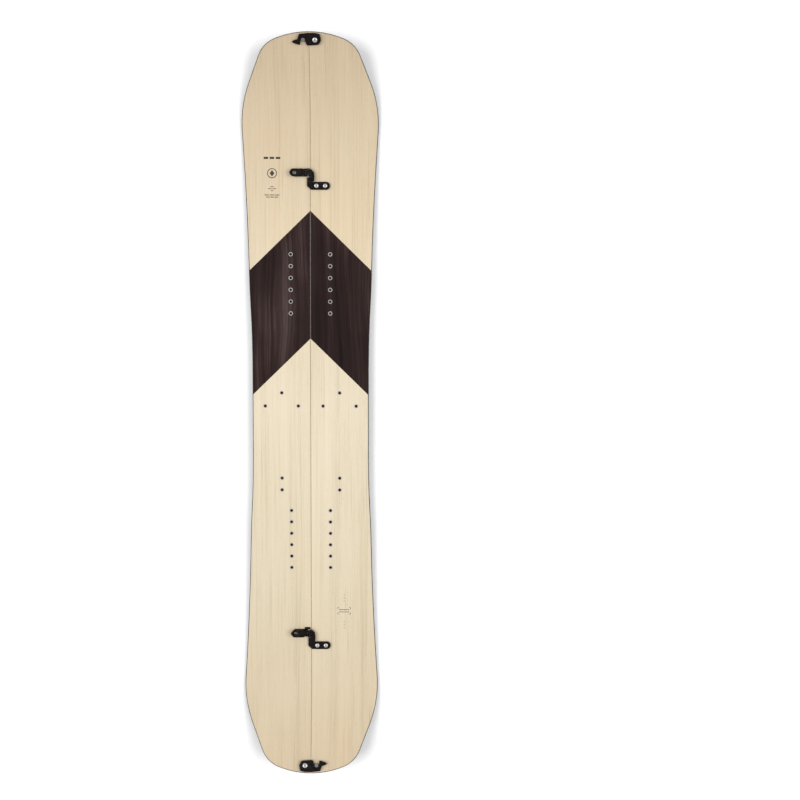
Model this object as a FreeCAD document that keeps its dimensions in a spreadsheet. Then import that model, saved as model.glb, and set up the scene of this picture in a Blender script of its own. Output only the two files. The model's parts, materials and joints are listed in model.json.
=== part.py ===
"""Splitboard: a snowboard that parts along its middle into two touring skis.

The board lies base down.  +X is the rider's right as the deck is read with the nose up the page, +Y runs to
the nose and +Z is up.  The origin is on the ground below the middle of the board.  Lengths are millimetres.
"""
import FreeCAD, Part
import math
import os

SIZES = {
    # Plan outline, from the tip round to the waist.  Angles are degrees.
    "board_length": 1603.0,
    "tip_radius": 198.0,
    "tip_turn": 21.75,
    "shoulder_radius": 62.0,
    "taper_angle": 22.0,
    "taper_length": 57.0,
    "widest_radius": 237.0,
    "sidecut_angle": 4.0,
    "sidecut_radius": 6420.0,
    "grip_low_angle": 1.15,
    "grip_radius": 985.0,
    "grip_high_angle": 3.42,
    "waist_radius": 2389.0,
    # Side profile of the base.
    "camber_rise": 7.0,
    "contact_station": 590.0,
    "kick_radius": 420.0,
    "kick_angle": 17.0,
    "middle_thickness": 9.6,
    "end_thickness": 6.6,
    # Layers of each ski.
    "seam_gap": 0.6,
    "base_thickness": 1.6,
    "edge_width": 1.6,
    "laminate_thickness": 0.6,
    "veneer_thickness": 0.7,
    "deck_margin": 1.5,
    "outer_wall_width": 8.0,
    "inner_wall_width": 6.0,
    "half_reach": 170.0,
    # Dark chevron in the deck and pale graphic in the base.
    "chevron_top": 428.6,
    "chevron_foot": 154.0,
    "chevron_slope": 0.975,
    "frame_half_width": 75.5,
    "frame_half_length": 270.0,
    "frame_line": 12.3,
    "mark_half_width": 37.0,
    "mark_line": 24.0,
    "mark_pitch": 92.0,
    # Threaded inserts.
    "insert_radius": 4.5,
    "insert_flange_radius": 6.0,
    "insert_flange": 0.8,
    "insert_recess": 0.1,
    "insert_depth": 6.0,
    "insert_bore": 3.0,
    "hardware_depth": 4.1,
    "hardware_bore": 2.5,
    "binding_column": 42.5,
    "binding_pitch": 25.4,
    "binding_front": 272.0,
    "binding_rear": -285.5,
    "tour_apex_across": 62.7,
    "tour_apex_along": 36.4,
    "tour_pair_half": 35.9,
    "tour_pair_along": 7.7,
    "heel_across": 62.8,
    "heel_front": -150.4,
    "heel_pitch": 26.0,
    # Screws and pins.
    "screw_head_radius": 4.5,
    "screw_head": 2.2,
    "screw_length": 4.0,
    "socket_radius": 1.9,
    "socket_depth": 1.3,
    # Nose and tail hooks.
    "hook_station": 785.2,
    "hook_across": 12.6,
    "hook_float": 1.2,
    "hook_plate": 4.0,
    "hook_bush_radius": 4.5,
    "hook_bush_flange": 6.8,
    "bush_flange_height": 0.9,
    "bush_height": 5.5,
    "running_gap": 0.05,
    "pivot_head_radius": 5.2,
    "stud_radius": 4.0,
    "stud_height": 4.6,
    "stud_collar": 1.2,
    "stud_collar_height": 0.8,
    "shank_depth": 3.9,
    "hook_bevel": 0.6,
    # Board clips.
    "clip_front": 495.5,
    "clip_rear": -510.0,
    "clip_step": 14.0,
    "clip_base": 2.0,
    "clip_base_far": -42.0,
    "clip_base_lip": 0.1,
    "clip_bevel": 0.4,
    "clip_tab_near": -2.5,
    "clip_tab_far": -14.5,
    "clip_tab_reach": 4.4,
    "ear_inner": 6.6,
    "ear_outer": 8.5,
    "ear_radius": 3.4,
    "lever_pivot_across": -4.5,
    "lever_pivot_height": 6.0,
    "lever_pin": 1.6,
    "lever_cheek_inner": 3.8,
    "lever_cheek_outer": 6.3,
    "lever_boss": 3.3,
    "lever_roof_low": 8.0,
    "lever_roof": 2.0,
    "lever_window": 4.0,
    "lever_roof_near": -12.0,
    "lever_neck": -15.0,
    "lever_flare": 2.0,
    "lever_shoulder": -39.0,
    "lever_tip": -44.6,
    "lever_tip_half": 1.8,
    "cheek_far": -40.0,
    "cheek_foot": -30.0,
    "cheek_lift": 0.5,
    "cheek_overlap": 0.8,
    "lever_window_across": -34.0,
    "throw_radius": 4.0,
    "over_centre": 8.0,
    "throw_pin": 1.4,
    "pin_start": 0.1,
    "pin_proud": 0.2,
    "pin_head_reach": 0.8,
    "pin_head_height": 0.6,
    "pin_head_bevel": 0.3,
    "drill_reach": 15.0,
    "arm_half_width": 3.4,
    "arm_eye": 2.9,
    "arm_low": 2.6,
    "arm_thickness": 3.8,
    "finger_low": 0.9,
    "finger_gap": 0.3,
    "arm_bridge_end": 1.5,
    "arm_finger_foot": -5.0,
    "arm_finger_head": 4.3,
    "lower_hook": 3.6,
    "lower_hook_far": 42.2,
    "lower_finger_top": 3.9,
    "lower_finger_far": -6.8,
    "base_screw_head": 3.9,
    "base_screw_near": -19.0,
    "lower_screw_near": 13.1,
    "lower_screw_far": 31.7,
}

DOC = FreeCAD.newDocument("splitboard")
SHEET = DOC.addObject("Spreadsheet::Sheet", "Sizes")
for row, (alias, value) in enumerate(SIZES.items(), start=1):
    SHEET.set("A%d" % row, alias)
    SHEET.set("B%d" % row, str(value))
    SHEET.setAlias("B%d" % row, alias)
DOC.recompute()

UP = FreeCAD.Vector(0, 0, 1)
ACROSS = FreeCAD.Vector(1, 0, 0)
PARTS = []


def size(alias):
    """The number that a cell of the sheet holds."""
    return float(SHEET.get(alias))


def vector(x, y, z=0.0):
    return FreeCAD.Vector(x, y, z)


def keep(feature, name):
    """Mark a document object as a finished sub-part under its own name."""
    feature.Label = name
    PARTS.append(feature)
    return feature


def bind(feature, **formulas):
    """Tie properties of an object to the sheet."""
    for property_name, formula in formulas.items():
        feature.setExpression(property_name, formula)
    return feature


# ---- Outline and side profile: chains of lines and tangent arcs -------------------------------------------

def arc_edge(start, heading, radius, end_heading):
    """An arc that leaves start along heading and turns to end_heading, with its end point."""
    turn = math.copysign(1.0, end_heading - heading)
    centre = start + vector(-math.sin(heading), math.cos(heading)) * (radius * turn)

    def point(angle):
        return centre - vector(-math.sin(angle), math.cos(angle)) * (radius * turn)

    middle = point((heading + end_heading) / 2)
    end = point(end_heading)
    return Part.Arc(start, middle, end).toShape(), end


def outline_quarter(inset):
    """Edges from the tip to the waist, on the right of the nose, moved in by inset all along."""
    down = -math.pi / 2
    tip_end = -math.radians(size("tip_turn"))
    taper = down + math.radians(size("taper_angle"))
    convex_then_concave = [
        ("tip_radius", tip_end),
        ("shoulder_radius", taper),
        (None, taper),
        ("widest_radius", down - math.radians(size("sidecut_angle"))),
        ("sidecut_radius", down - math.radians(size("grip_low_angle"))),
        ("grip_radius", down - math.radians(size("grip_high_angle"))),
        ("waist_radius", down),
    ]
    point = vector(0, size("board_length") / 2 - inset)
    heading = 0.0
    edges = []
    for radius_name, end_heading in convex_then_concave:
        if radius_name is None:
            step = vector(math.cos(heading), math.sin(heading)) * size("taper_length")
            edges.append(Part.makeLine(point, point + step))
            point = point + step
            continue
        concave = end_heading > heading
        radius = size(radius_name) + (inset if concave else -inset)
        edge, point = arc_edge(point, heading, radius, end_heading)
        edges.append(edge)
        heading = end_heading
    return edges, point


def outline_face(inset):
    """The whole board's plan shape, the same at the nose and the tail, moved in by inset."""
    quarter, waist = outline_quarter(inset)
    quarter.append(Part.makeLine(waist, vector(waist.x, 0)))
    half = quarter + [edge.mirror(vector(0, 0), vector(0, 1)) for edge in quarter]
    whole = half + [edge.mirror(vector(0, 0), vector(1, 0)) for edge in half]
    return Part.Face(Part.Wire(Part.__sortEdges__(whole)))


class SideLine:
    """A long line of the side view: straight nose and tail, kick arcs and the camber arc between them."""

    def __init__(self, middle_height, contact_height):
        self.middle = middle_height
        self.kick_radius = size("kick_radius") - contact_height
        self.kick_angle = math.radians(size("kick_angle"))
        station = size("contact_station")
        rise = middle_height - contact_height
        self.camber_radius = (station ** 2 + rise ** 2) / (2 * rise) - self.kick_radius
        self.join = station * self.camber_radius / (self.camber_radius + self.kick_radius)
        self.kick_end = station + self.kick_radius * math.sin(self.kick_angle)

    def height(self, along):
        """Height of the line at a distance from the middle of the board."""
        reach = abs(along)
        if reach <= self.join:
            return self.middle - self.camber_radius + math.sqrt(self.camber_radius ** 2 - reach ** 2)
        if reach <= self.kick_end:
            offset = reach - size("contact_station")
            return size("kick_radius") - math.sqrt(self.kick_radius ** 2 - offset ** 2)
        end_height = size("kick_radius") - self.kick_radius * math.cos(self.kick_angle)
        return end_height + (reach - self.kick_end) * math.tan(self.kick_angle)

    def slope(self, along):
        """Angle of the line from level, in degrees, upward to the nose."""
        reach = abs(along)
        angle = -math.asin(min(reach, self.join) / self.camber_radius)
        if reach > self.join:
            offset = min(reach, self.kick_end) - size("contact_station")
            angle = math.asin(offset / self.kick_radius)
        return math.degrees(math.copysign(1.0, along) * angle)

    def point(self, along):
        return vector(0, along, self.height(along))

    def edges(self, reach):
        """The line's edges from tail to nose, out to reach each way."""
        half = [self.join, self.kick_end, reach]
        stations = [-station for station in reversed(half)] + half
        chain = []
        for start, end in zip(stations, stations[1:]):
            if abs(start) > self.join and abs(end) > self.join and max(abs(start), abs(end)) > self.kick_end:
                chain.append(Part.makeLine(self.point(start), self.point(end)))
            else:
                middle = self.point((start + end) / 2)
                chain.append(Part.Arc(self.point(start), middle, self.point(end)).toShape())
        return chain


def base_line(height):
    """The base's side line, moved up square to itself by height."""
    return SideLine(size("camber_rise") + height, height)


def deck_line(depth=0.0):
    """The deck's side line, moved down square to itself by depth."""
    middle = size("camber_rise") + size("middle_thickness") - depth
    return SideLine(middle, size("end_thickness") - depth)


def layer_face(lower, upper):
    """The side view of a layer between two lines, standing in the plane X = 0."""
    reach = size("board_length") / 2 + 5
    low = lower.edges(reach)
    high = upper.edges(reach)
    ends = [Part.makeLine(lower.point(end), upper.point(end)) for end in (-reach, reach)]
    return Part.Face(Part.Wire(Part.__sortEdges__(low + high + ends)))


# ---- Document objects shared by both skis -----------------------------------------------------------------

def held_shape(name, shape):
    """A construction face that other objects of the document are built on."""
    feature = DOC.addObject("Part::Feature", name)
    feature.Shape = shape
    return feature


def prism(name, face, start=-10.0, height=90.0):
    """A plan face carried up through the whole thickness of the board."""
    base = held_shape(name + "_face", face)
    base.Placement = FreeCAD.Placement(vector(0, 0, start), FreeCAD.Rotation())
    feature = DOC.addObject("Part::Extrusion", name)
    feature.Base = base
    feature.DirMode = "Custom"
    feature.Dir = UP
    feature.LengthFwd = height
    feature.Solid = True
    return feature


def polygon_face(points):
    closed = [vector(*point) for point in points]
    return Part.Face(Part.makePolygon(closed + closed[:1]))


def chevron_face(top, foot, slope, reach):
    """An arrow band that points to the nose, from its top corner down to its foot corner."""
    drop = slope * reach
    right = [(0, top), (reach, top - drop), (reach, foot - drop), (0, foot)]
    left = [(-x, y) for x, y in right[1:3]]
    return polygon_face(right + left[::-1])


def inlay_face():
    """A plain pale frame about a short column of chevrons."""
    across = size("frame_half_width")
    along = size("frame_half_length")
    line = size("frame_line")
    outer = polygon_face([(-across, -along), (across, -along), (across, along), (-across, along)])
    across -= line
    along -= line
    inner = polygon_face([(-across, -along), (across, -along), (across, along), (-across, along)])
    faces = [outer.cut(inner)]
    reach = size("mark_half_width")
    for step in (-1.5, -0.5, 0.5, 1.5):
        top = step * size("mark_pitch") + reach / 2 + size("mark_line") / 2
        faces.append(chevron_face(top, top - size("mark_line"), 1.0, reach))
    return Part.makeCompound(faces)


BOARD_PRISM = prism("board_prism", outline_face(0.0))
EDGE_PRISM = prism("edge_prism", outline_face(size("edge_width")))
DECK_PRISM = prism("deck_prism", outline_face(size("deck_margin")))
CORE_PRISM = prism("core_prism", outline_face(size("outer_wall_width")))
CHEVRON_PRISM = prism("chevron_prism", chevron_face(
    size("chevron_top"), size("chevron_foot"), size("chevron_slope"), size("half_reach")))
INLAY_PRISM = prism("inlay_prism", inlay_face())


def layer(name, lower, upper, side, start, width, plan):
    """A layer of one ski: its side view carried across from start by width, within a plan shape."""
    face = held_shape(name + "_side", layer_face(lower, upper))
    bind(face, **{"Placement.Base.x": "%d * (%s)" % (side, start)})
    band = DOC.addObject("Part::Extrusion", name + "_band")
    band.Base = face
    band.DirMode = "Custom"
    band.Dir = ACROSS * side
    band.Solid = True
    bind(band, LengthFwd=width)
    common = DOC.addObject("Part::MultiCommon", name + "_blank")
    common.Shapes = [band, plan]
    return common


def cut(name, base, tool):
    feature = DOC.addObject("Part::Cut", name)
    feature.Base = base
    feature.Tool = tool
    return feature


def common_of(name, first, second):
    feature = DOC.addObject("Part::MultiCommon", name)
    feature.Shapes = [first, second]
    return feature


# ---- Bodies made from sketches ----------------------------------------------------------------------------

def new_body(name):
    return DOC.addObject("PartDesign::Body", name)


def new_sketch(body, name, role, geometry, offset=0.0):
    """A sketch on one of the body's own origin planes, moved along the plane's normal by offset."""
    sketch = body.newObject("Sketcher::SketchObject", name)
    plane = next(item for item in body.Origin.OriginFeatures if item.Role == role)
    sketch.AttachmentSupport = [(plane, "")]
    sketch.MapMode = "FlatFace"
    sketch.AttachmentOffset = FreeCAD.Placement(vector(0, 0, offset), FreeCAD.Rotation())
    sketch.addGeometry(geometry)
    return sketch


def pad(body, name, sketch, length, reverse=False):
    feature = body.newObject("PartDesign::Pad", name)
    feature.Profile = sketch
    feature.Reversed = reverse
    bind(feature, Length=length)
    return feature


def pocket(body, name, sketch, length):
    """Cut against the sketch's normal."""
    feature = body.newObject("PartDesign::Pocket", name)
    feature.Profile = sketch
    bind(feature, Length=length)
    return feature


def revolve(body, name, points):
    """Turn a half section, given as radius and height, about the body's Z axis."""
    sketch = new_sketch(body, name + "_section", "XZ_Plane", closed_lines(points))
    feature = body.newObject("PartDesign::Revolution", name)
    feature.Profile = sketch
    feature.ReferenceAxis = (sketch, ["V_Axis"])
    feature.Angle = 360
    return feature


def closed_lines(points):
    """Sketch lines round a list of corners."""
    corners = [vector(*point) for point in points]
    return [Part.LineSegment(a, b) for a, b in zip(corners, corners[1:] + corners[:1])]


def rounded_lines(corners):
    """Sketch lines and tangent arcs round a list of corners, each given as x, y and its radius."""
    count = len(corners)
    starts = []
    pieces = []
    for index, (x, y, radius) in enumerate(corners):
        here = vector(x, y)
        before = vector(*corners[index - 1][:2])
        after = vector(*corners[(index + 1) % count][:2])
        back = (before - here).normalize()
        ahead = (after - here).normalize()
        if radius == 0:
            starts.append((here, here))
            continue
        half = back.getAngle(ahead) / 2
        run = radius / math.tan(half)
        centre = here + (back + ahead).normalize() * (radius / math.sin(half))
        middle = centre + (here - centre).normalize() * radius
        starts.append((here + back * run, here + ahead * run))
        pieces.append(Part.Arc(starts[-1][0], middle, starts[-1][1]))
    for index in range(count):
        leave = starts[index][1]
        arrive = starts[(index + 1) % count][0]
        if leave.distanceToPoint(arrive) > 1e-6:
            pieces.append(Part.LineSegment(leave, arrive))
    return pieces


def circle(x, y, radius):
    return Part.Circle(vector(x, y), UP, radius)


def hexagon(radius):
    corners = [(radius * math.cos(k * math.pi / 3), radius * math.sin(k * math.pi / 3)) for k in range(6)]
    return closed_lines(corners)


def chamfer_level(body, name, feature, height, length):
    """Break the edges that lie at one height of a feature."""
    DOC.recompute()
    names = []
    for number, edge in enumerate(feature.Shape.Edges, start=1):
        box = edge.BoundBox
        if abs(box.ZMin - height) < 1e-4 and abs(box.ZMax - height) < 1e-4:
            names.append("Edge%d" % number)
    chamfer = body.newObject("PartDesign::Chamfer", name)
    chamfer.Base = (feature, names)
    chamfer.Size = length
    return chamfer


def placed_copies(name, pattern, placements):
    """One node that holds a copy of the same fitting at each of its places."""
    DOC.recompute()
    shape = pattern.Shape.copy()
    group = DOC.addObject("Part::Feature", name)
    group.Shape = Part.makeCompound([shape.transformed(place.toMatrix()) for place in placements])
    return group


# ---- Places on the deck -----------------------------------------------------------------------------------

def deck_place(across, along):
    """Upright frame on the deck, for the vertical insert bores."""
    return FreeCAD.Placement(vector(across, along, deck_line().height(along)), FreeCAD.Rotation())


def deck_frame(along, turned=False):
    """Frame on the seam, square to the deck, its y axis along the deck.  Turned puts y to the tail."""
    line = deck_line()
    tilt = FreeCAD.Rotation(ACROSS, line.slope(along))
    if turned:
        tilt = FreeCAD.Rotation(UP, 180) * FreeCAD.Rotation(ACROSS, abs(line.slope(along)))
    return FreeCAD.Placement(line.point(along), tilt)


def shifted(frame, x, y, z=0.0):
    return frame * FreeCAD.Placement(vector(x, y, z), FreeCAD.Rotation())


NOSE = deck_frame(size("hook_station"))
TAIL = deck_frame(-size("hook_station"), turned=True)
FRONT = deck_frame(size("clip_front"))
REAR = deck_frame(size("clip_rear"))


# ---- Inserts and screws -----------------------------------------------------------------------------------

def insert_pattern(name, depth_cell, bore_cell, solid=False):
    """A flanged threaded insert below the deck surface; solid leaves out its bore."""
    body = new_body(name)
    outer = size("insert_radius")
    flange = size("insert_flange_radius")
    bottom = -size(depth_cell)
    step = bottom + size("insert_flange")
    bore = 0.0 if solid else size(bore_cell)
    top = 2.0 if solid else -size("insert_recess")
    revolve(body, name + "_turned", [
        (bore, bottom), (flange, bottom), (flange, step), (outer, step), (outer, top), (bore, top)])
    return body


def screw_pattern(name, head_radius, seat, shank_radius, bottom, sunk=False):
    """A machine screw with a hexagon socket: a low domed head above seat, or a sunk head level with it."""
    body = new_body(name)
    top = seat if sunk else seat + size("screw_head")
    if sunk:
        head = [(shank_radius, seat - (head_radius - shank_radius)), (head_radius, seat), (0, seat)]
    else:
        head = [(shank_radius, seat), (head_radius, seat), (head_radius, seat + 0.9),
                (head_radius - 0.7, seat + 1.7), (head_radius - 1.9, top), (0, top)]
    turned = revolve(body, name + "_turned", [(0, bottom), (shank_radius, bottom)] + head)
    DOC.recompute()
    before = turned.Shape.Volume
    socket = new_sketch(body, name + "_socket", "XY_Plane", hexagon(size("socket_radius")), top)
    drilled = pocket(body, name + "_drive", socket, "Sizes.socket_depth")
    DOC.recompute()
    if drilled.Shape.Volume >= before:
        raise ValueError("the socket of %s cuts nothing" % name)
    return body


DECK_INSERT = insert_pattern("deck_insert_pattern", "insert_depth", "insert_bore")
DECK_INSERT_SPACE = insert_pattern("deck_insert_space", "insert_depth", "insert_bore", solid=True)
HARDWARE_INSERT = insert_pattern("hardware_insert_pattern", "hardware_depth", "hardware_bore")
HARDWARE_SPACE = insert_pattern("hardware_insert_space", "hardware_depth", "hardware_bore", solid=True)
LOWER_SCREW = screw_pattern("lower_hook_screw_pattern", size("screw_head_radius"), size("lower_hook"),
                            size("hardware_bore"), -size("screw_length"))
BASE_SCREW = screw_pattern("base_screw_pattern", size("base_screw_head"), size("clip_base"),
                           size("hardware_bore"), -size("screw_length"), sunk=True)


def binding_places(side):
    rows = [(row - 2.5) * size("binding_pitch") for row in range(6)]
    groups = (size("binding_front"), size("binding_rear"))
    return [deck_place(side * size("binding_column"), centre + row) for centre in groups for row in rows]


def touring_places(side):
    apex = size("tour_apex_across")
    pair = [apex - size("tour_pair_half"), apex + size("tour_pair_half")]
    places = [deck_place(side * apex, size("tour_apex_along"))]
    return places + [deck_place(side * across, size("tour_pair_along")) for across in pair]


def heel_places(side):
    stations = (size("heel_front"), size("heel_front") - size("heel_pitch"))
    return [deck_place(side * size("heel_across"), station) for station in stations]


def hardware_places(side):
    """Screw places of the hooks and clips on one ski, each square to the deck."""
    frames = (FRONT, REAR)
    if side > 0:
        hook = [shifted(NOSE, size("hook_across"), 0), shifted(TAIL, -size("hook_across"), 0)]
        across = (size("lower_screw_near"), size("lower_screw_far"))
        return hook + [shifted(frame, x, -size("clip_step")) for frame in frames for x in across]
    hook = [shifted(NOSE, -size("hook_across"), 0), shifted(TAIL, size("hook_across"), 0)]
    across = (size("base_screw_near"), size("lever_window_across"))
    return hook + [shifted(frame, x, size("clip_step")) for frame in frames for x in across]


# ---- The two skis -----------------------------------------------------------------------------------------

def build_ski(word, side):
    """All the layers and inserts of one ski."""
    def name(piece):
        return word + "_" + piece

    seam = "Sizes.seam_gap / 2"
    out = "Sizes.half_reach"
    edge_line = base_line(size("base_thickness"))
    core_low = base_line(size("base_thickness") + size("laminate_thickness"))
    core_high = deck_line(size("veneer_thickness") + size("laminate_thickness"))
    veneer_low = deck_line(size("veneer_thickness"))

    edge = layer(name("edge"), base_line(0.0), edge_line, side, seam, out, BOARD_PRISM)
    keep(cut(name("edge_ring"), edge, EDGE_PRISM), name("outer_edge"))
    keep(layer(name("inner_edge_strip"), base_line(0.0), edge_line, side, seam, "Sizes.edge_width", EDGE_PRISM),
         name("inner_edge"))
    base = layer(name("base"), base_line(0.0), edge_line, side, seam + " + Sizes.edge_width", out, EDGE_PRISM)
    keep(cut(name("base_cut"), base, INLAY_PRISM), name("base_sheet"))
    keep(common_of(name("inlay_cut"), base, INLAY_PRISM), name("base_inlay"))
    keep(layer(name("lower_fibre"), edge_line, core_low, side, seam, out, BOARD_PRISM), name("bottom_laminate"))

    groups = {
        "binding_inserts": (DECK_INSERT, DECK_INSERT_SPACE, binding_places(side)),
        "touring_inserts": (DECK_INSERT, DECK_INSERT_SPACE, touring_places(side)),
        "heel_inserts": (DECK_INSERT, DECK_INSERT_SPACE, heel_places(side)),
        "hardware_inserts": (HARDWARE_INSERT, HARDWARE_SPACE, hardware_places(side)),
    }
    spaces = []
    for piece, (pattern, space, places) in groups.items():
        keep(placed_copies(name(piece + "_group"), pattern, places), name(piece))
        spaces.append(placed_copies(name(piece + "_space"), space, places))
    bores = DOC.addObject("Part::Compound", name("bores"))
    bores.Links = spaces

    core = layer(name("wood"), core_low, core_high, side, seam + " + Sizes.inner_wall_width", out, CORE_PRISM)
    keep(cut(name("core_bored"), core, bores), name("core"))
    keep(layer(name("inner_wall"), core_low, core_high, side, seam, "Sizes.inner_wall_width", CORE_PRISM),
         name("inner_sidewall"))
    wall = layer(name("wall"), core_low, core_high, side, seam, out, BOARD_PRISM)
    keep(cut(name("wall_ring"), wall, CORE_PRISM), name("outer_sidewall"))
    fibre = layer(name("upper_fibre"), core_high, veneer_low, side, seam, out, BOARD_PRISM)
    keep(cut(name("upper_fibre_bored"), fibre, bores), name("top_laminate"))
    veneer = layer(name("veneer"), veneer_low, deck_line(), side, seam, out, DECK_PRISM)
    bored = cut(name("veneer_bored"), veneer, bores)
    keep(cut(name("ash_cut"), bored, CHEVRON_PRISM), name("ash_veneer"))
    keep(common_of(name("walnut_cut"), bored, CHEVRON_PRISM), name("walnut_veneer"))


# ---- Nose and tail hooks ----------------------------------------------------------------------------------

HOOK_OUTLINE = [
    (-3.4, -12.2, 2.6), (20.6, -10.4, 3.5), (25.8, -1.2, 8.0), (22.8, 12.0, 3.0), (12.0, 14.1, 12.0),
    (-3.0, 14.1, 12.0), (-21.0, 11.9, 2.0), (-24.4, 0.8, 1.2), (-30.6, -0.4, 2.0), (-35.6, -3.6, 1.2),
    (-33.6, -6.5, 1.5), (-21.4, -10.6, 2.0), (-18.5, -10.6, 1.2), (-18.5, -4.4, 2.0), (-17.1, -0.4, 1.5),
    (-17.1, 4.5, 4.4), (-8.1, 4.5, 4.4), (-8.1, -2.0, 2.0), (-6.0, -8.0, 4.0),
]


def hook_set(word, frame):
    """A hook plate that turns on a bushed screw, with the stud on the other ski that its slot catches."""
    pivot = shifted(frame, size("hook_across"), 0)
    post = shifted(frame, -size("hook_across"), 0)

    plate = new_body(word + "_hook_plate_body")
    outline = new_sketch(plate, word + "_hook_outline", "XY_Plane", rounded_lines(HOOK_OUTLINE),
                         size("hook_float"))
    slab = pad(plate, word + "_hook_slab", outline, "Sizes.hook_plate")
    top = size("hook_float") + size("hook_plate")
    bevelled = chamfer_level(plate, word + "_hook_bevel", slab, top, size("hook_bevel"))
    DOC.recompute()
    eye = new_sketch(plate, word + "_hook_eye", "XY_Plane",
                     [circle(size("hook_across"), 0, size("hook_bush_radius") + size("running_gap"))],
                     top + 1.0)
    bored = pocket(plate, word + "_hook_bore", eye, "Sizes.hook_plate + 2")
    DOC.recompute()
    if bored.Shape.Volume >= bevelled.Shape.Volume:
        raise ValueError("the %s hook has no bore" % word)
    plate.Placement = frame
    keep(plate, word + "_hook_plate")

    bush = new_body(word + "_bush_body")
    inner = size("hardware_bore") + size("running_gap")
    outer = size("hook_bush_radius")
    flange = size("hook_bush_flange")
    step = size("bush_flange_height")
    height = size("bush_height")
    revolve(bush, word + "_bush_turned", [
        (inner, 0), (flange, 0), (flange, step), (outer, step), (outer, height), (inner, height)])
    bush.Placement = pivot
    keep(bush, word + "_pivot_bush")

    screw = screw_pattern(word + "_pivot_screw_body", size("pivot_head_radius"), height,
                          size("hardware_bore"), -size("shank_depth"))
    screw.Placement = pivot
    keep(screw, word + "_pivot_screw")

    stud = new_body(word + "_stud_body")
    radius = size("stud_radius")
    crown = size("stud_height")
    shank = size("hardware_bore")
    low = -size("shank_depth")
    collar = radius + size("stud_collar")
    step = size("stud_collar_height")
    bevel = size("hook_bevel")
    revolve(stud, word + "_stud_turned", [
        (0, low), (shank, low), (shank, 0), (collar, 0), (collar, step), (radius, step),
        (radius, crown - bevel), (radius - bevel, crown), (0, crown)])
    DOC.recompute()
    socket = new_sketch(stud, word + "_stud_socket", "XY_Plane", hexagon(size("socket_radius")), crown)
    pocket(stud, word + "_stud_drive", socket, "Sizes.socket_depth")
    stud.Placement = post
    keep(stud, word + "_stud")


# ---- Board clips ------------------------------------------------------------------------------------------

def mirrored_pads(body, name, geometry, inner_cell, outer_cell):
    """Two equal plates, one each side of the lever unit's middle, with their outline in the XZ plane."""
    step = size("clip_step")
    thickness = "Sizes.%s - Sizes.%s" % (outer_cell, inner_cell)
    last = None
    for sign in (1, -1):
        inner_face = step + sign * size(inner_cell)
        sketch = new_sketch(body, "%s_%s" % (name, "nose" if sign > 0 else "tail"), "XZ_Plane",
                            geometry(), -inner_face)
        last = pad(body, sketch.Name + "_plate", sketch, thickness, reverse=sign > 0)
    return last


def drill_across(body, name, across, height, radius):
    """A round hole along Y right through the lever unit."""
    DOC.recompute()
    before = body.Tip.Shape.Volume
    sketch = new_sketch(body, name + "_circle", "XZ_Plane", [circle(across, height, radius)],
                        size("drill_reach") - size("clip_step"))
    feature = pocket(body, name, sketch, "2 * Sizes.drill_reach")
    DOC.recompute()
    if feature.Shape.Volume >= before:
        raise ValueError("%s cuts nothing" % name)
    return feature


def clip_base(word, frame, tabbed):
    """Screwed base plate with an ear each side of the lever, and on one clip a small tab to the nose."""
    body = new_body(word + "_clip_base_body")
    middle = size("clip_step")
    half = size("ear_outer")
    across = size("lever_pivot_across")
    left = size("clip_base_far")
    right = across + size("ear_radius") + size("clip_base_lip")
    outline = [(right, middle - half, 1.0), (right, middle + half, 1.0),
               (left, middle + half, half - 0.2), (left, middle - half, half - 0.2)]
    sketch = new_sketch(body, word + "_clip_base_outline", "XY_Plane", rounded_lines(outline))
    pad(body, word + "_clip_base_plate", sketch, "Sizes.clip_base")
    if tabbed:
        near, far = size("clip_tab_near"), size("clip_tab_far")
        root = middle + half - 1.0
        reach = middle + half + size("clip_tab_reach")
        corners = [(near, root, 0.4), (near, reach, 2.0), (far, reach, 2.0), (far, root, 0.4)]
        tab = new_sketch(body, word + "_clip_tab_outline", "XY_Plane", rounded_lines(corners))
        pad(body, word + "_clip_tab", tab, "Sizes.clip_base")

    def ear():
        radius = size("ear_radius")
        height = size("lever_pivot_height")
        low = size("clip_base") - 0.5
        shoulder = [(across - radius, low), (across + radius, low), (across + radius, height)]
        start = vector(across + radius, height)
        end = vector(across - radius, height)
        lines = [Part.LineSegment(vector(*a), vector(*b)) for a, b in zip(shoulder, shoulder[1:])]
        lines.append(Part.Arc(start, vector(across, height + radius), end))
        lines.append(Part.LineSegment(end, vector(across - radius, low)))
        return lines

    mirrored_pads(body, word + "_clip_ear", ear, "ear_inner", "ear_outer")
    drill_across(body, word + "_clip_ear_bore", across, size("lever_pivot_height"),
                 size("lever_pin") + size("running_gap"))
    for number, x in enumerate((size("base_screw_near"), size("lever_window_across"))):
        seat = new_sketch(body, "%s_clip_seat_%d" % (word, number), "XY_Plane",
                          [circle(x, middle, size("base_screw_head"))], size("clip_base"))
        sink = body.newObject("PartDesign::Pocket", "%s_clip_sink_%d" % (word, number))
        sink.Profile = seat
        bind(sink, Length="Sizes.base_screw_head - Sizes.hardware_bore")
        sink.TaperAngle = -45
        DOC.recompute()
        hole = new_sketch(body, "%s_clip_hole_%d" % (word, number), "XY_Plane",
                          [circle(x, middle, size("hardware_bore"))], size("clip_base"))
        pocket(body, "%s_clip_drill_%d" % (word, number), hole, "Sizes.clip_base")
    body.Placement = frame
    keep(body, word + "_clip_base")


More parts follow.
